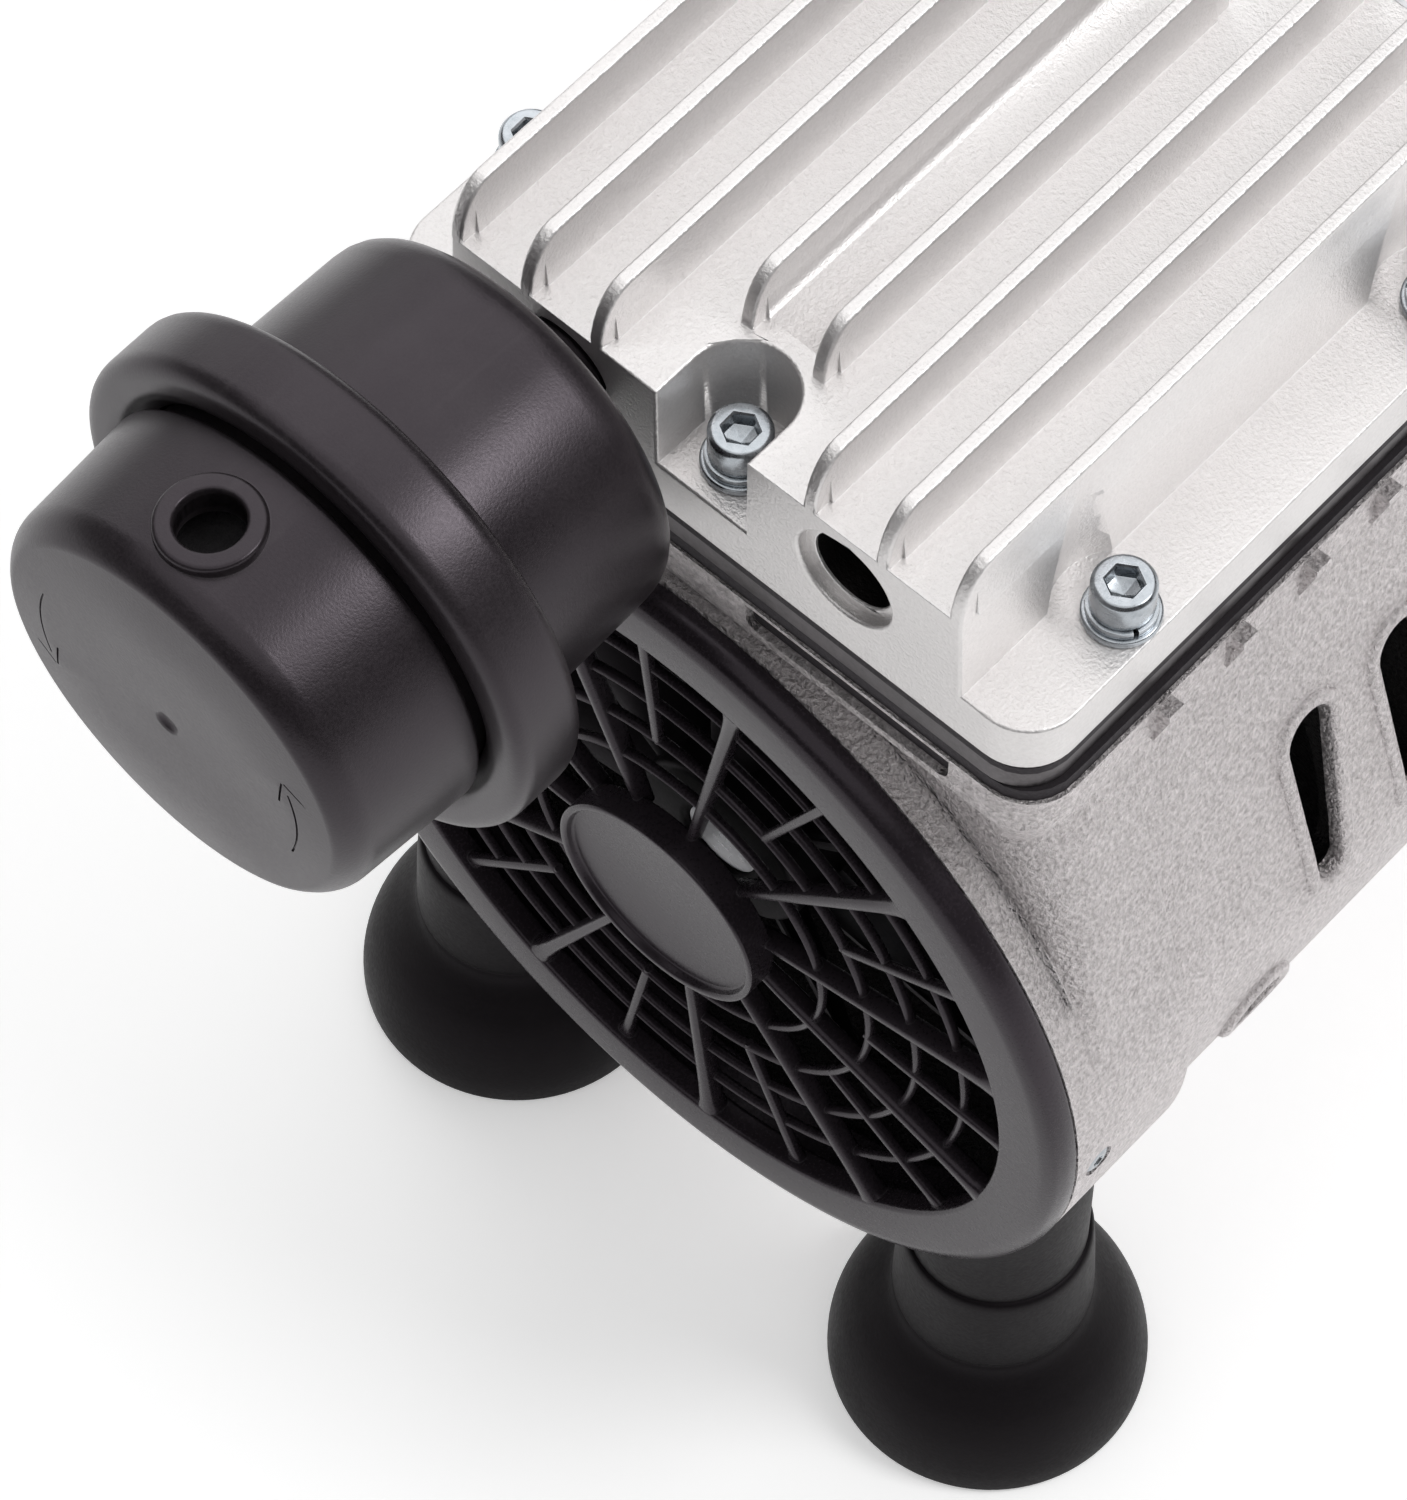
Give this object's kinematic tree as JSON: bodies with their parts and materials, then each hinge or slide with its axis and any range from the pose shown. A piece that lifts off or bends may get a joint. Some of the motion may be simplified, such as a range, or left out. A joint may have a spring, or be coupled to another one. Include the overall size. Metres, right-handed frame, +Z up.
{
  "type": "oil-free vacuum pump",
  "caption": "Motor-driven oil-free piston vacuum pump with finned cylinder covers, fan guards, a threaded-on round silencer and bell-shaped rubber feet.",
  "frame": {"origin": "on the floor, in the middle of the four feet's screw holes", "axes": "+Z up, +Y along the shaft away from the silencer end, +X to the right as seen from the silencer end"},
  "size_m": [0.1742, 0.3979, 0.2853],
  "materials": {
    "cast_housing": "fine sand-textured casting",
    "cast_cover": "satin casting",
    "zinc": "zinc plated",
    "steel": "ground",
    "black_plastic": "moulded satin",
    "guard_plastic": "moulded semi-gloss",
    "fan_plastic": "moulded satin",
    "foot_rubber": "smooth rubber",
    "gasket": "matte",
    "felt": "needled felt",
    "winding": "varnished copper wire"
  },
  "bodies": {
    "pump_body": {"housing_front": "cast_housing", "housing_rear": "cast_housing", "housing_tie_studs": "zinc", "cylinder_sleeve_front": "steel", "cylinder_sleeve_rear": "steel", "lower_gasket_front": "gasket", "lower_gasket_rear": "gasket", "valve_plate_front": "steel", "valve_plate_rear": "steel", "upper_gasket_front": "gasket", "upper_gasket_rear": "gasket", "reeds_front": "steel", "reeds_rear": "steel", "cover_front": "cast_cover", "cover_rear": "cast_cover", "cover_screws": "zinc", "spring_washers": "zinc", "flat_washers": "zinc", "crossover_pipes": "steel", "port_plugs": "zinc", "muffler_body": "black_plastic", "muffler_felt": "felt", "guard_front": "guard_plastic", "guard_rear": "guard_plastic", "guard_screws": "zinc", "foot_front_left": "foot_rubber", "foot_front_right": "foot_rubber", "foot_rear_left": "foot_rubber", "foot_rear_right": "foot_rubber", "foot_collars": "foot_rubber", "foot_studs": "zinc", "stator_core": "steel", "windings": "winding", "main_bearings": "steel", "cable_gland": "black_plastic"},
    "rotating_group": {"shaft": "steel", "rotor_core": "steel", "eccentric_front": "steel", "eccentric_rear": "steel", "counterweights": "steel", "fan_front": "fan_plastic", "fan_rear": "fan_plastic"},
    "rod_unit_front": {"rod_front": "cast_cover", "rod_bearing_front": "steel"},
    "rod_unit_rear": {"rod_rear": "cast_cover", "rod_bearing_rear": "steel"},
    "piston_unit_front": {"piston_front": "cast_cover", "cup_seal_front": "black_plastic", "pin_stubs_front": "steel"},
    "piston_unit_rear": {"piston_rear": "cast_cover", "cup_seal_rear": "black_plastic", "pin_stubs_rear": "steel"},
    "cap_unit": {"muffler_cap": "black_plastic"}
  },
  "joints": [
    {"name": "shaft_spin", "type": "hinge", "parent": "pump_body", "child": "rotating_group", "pos_m": [0, 0, 0.1245], "axis": [0, 1, 0], "continuous": true},
    {"name": "rod_front_swing", "type": "hinge", "parent": "rotating_group", "child": "rod_unit_front", "pos_m": [0, -0.087, 0.1335], "axis": [0, 1, 0], "continuous": true},
    {"name": "rod_rear_swing", "type": "hinge", "parent": "rotating_group", "child": "rod_unit_rear", "pos_m": [0, 0.087, 0.1155], "axis": [0, 1, 0], "continuous": true},
    {"name": "piston_front_slide", "type": "slide", "parent": "pump_body", "child": "piston_unit_front", "axis": [0, 0, 1], "range_m": [-0.018, 0]},
    {"name": "piston_rear_slide", "type": "slide", "parent": "pump_body", "child": "piston_unit_rear", "axis": [0, 0, 1], "range_m": [0, 0.018]},
    {"name": "muffler_cap_turn", "type": "hinge", "parent": "pump_body", "child": "cap_unit", "pos_m": [-0.0277, -0.21, 0.2415], "axis": [0, 1, 0], "range_deg": [0, 40]}
  ],
  "couplings": [
    {"joint": "rod_front_swing", "follows": "shaft_spin", "ratio": -1},
    {"joint": "rod_rear_swing", "follows": "shaft_spin", "ratio": -1}
  ]
}
